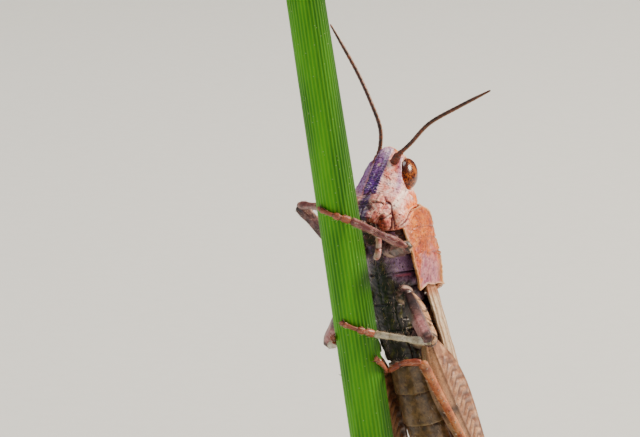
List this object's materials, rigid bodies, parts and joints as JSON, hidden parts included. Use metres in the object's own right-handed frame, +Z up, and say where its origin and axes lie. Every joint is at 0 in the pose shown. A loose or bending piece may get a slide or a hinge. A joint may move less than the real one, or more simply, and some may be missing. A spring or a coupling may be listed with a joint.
{
  "type": "grasshopper",
  "caption": "Life-size field grasshopper clinging head-up to a cut length of green stem, on a round display stand.",
  "frame": {"origin": "centre of the stand base's underside, on the surface it stands on", "axes": "+Z up along the stand, towards the cut top of the stem; +X to the viewer's right and +Y away from the viewer"},
  "size_m": [0.03, 0.03, 0.0381],
  "materials": {
    "face_shell": "pinkish cream chitin with fine dark specks",
    "eye": "glossy brown mottled compound eye",
    "back_shell": "orange-brown pitted chitin",
    "trunk_shell": "purple-brown and olive chitin",
    "wing": "tan veined forewing",
    "feeler": "red-brown ringed feeler",
    "leg_shell": "pinkish brown speckled chitin",
    "stem": "waxy green ribbed stem",
    "stand": "satin black"
  },
  "bodies": {
    "root": {"abdomen": "trunk_shell", "antenna_left": "feeler", "antenna_right": "feeler", "chin": "trunk_shell", "coxa_fore_left": "leg_shell", "coxa_fore_right": "leg_shell", "coxa_hind_left": "leg_shell", "coxa_hind_right": "leg_shell", "coxa_mid_left": "leg_shell", "coxa_mid_right": "leg_shell", "eye_left": "eye", "eye_right": "eye", "femur_fore_left": "leg_shell", "femur_fore_right": "leg_shell", "femur_hind_left": "leg_shell", "femur_hind_right": "leg_shell", "femur_mid_left": "leg_shell", "femur_mid_right": "leg_shell", "head": "face_shell", "labrum": "face_shell", "mandible_left": "face_shell", "mandible_right": "face_shell", "ovipositor_lower": "trunk_shell", "ovipositor_upper": "trunk_shell", "palp_left": "leg_shell", "palp_right": "leg_shell", "perch": "stem", "pronotum": "back_shell", "stand_base": "stand", "stand_rod": "stand", "tarsus_fore_left": "leg_shell", "tarsus_fore_right": "leg_shell", "tarsus_hind_left": "leg_shell", "tarsus_hind_right": "leg_shell", "tarsus_mid_left": "leg_shell", "tarsus_mid_right": "leg_shell", "thorax": "trunk_shell", "tibia_fore_left": "leg_shell", "tibia_fore_right": "leg_shell", "tibia_hind_left": "leg_shell", "tibia_hind_right": "leg_shell", "tibia_mid_left": "leg_shell", "tibia_mid_right": "leg_shell", "wing_left": "wing", "wing_right": "wing"}
  },
  "joints": []
}
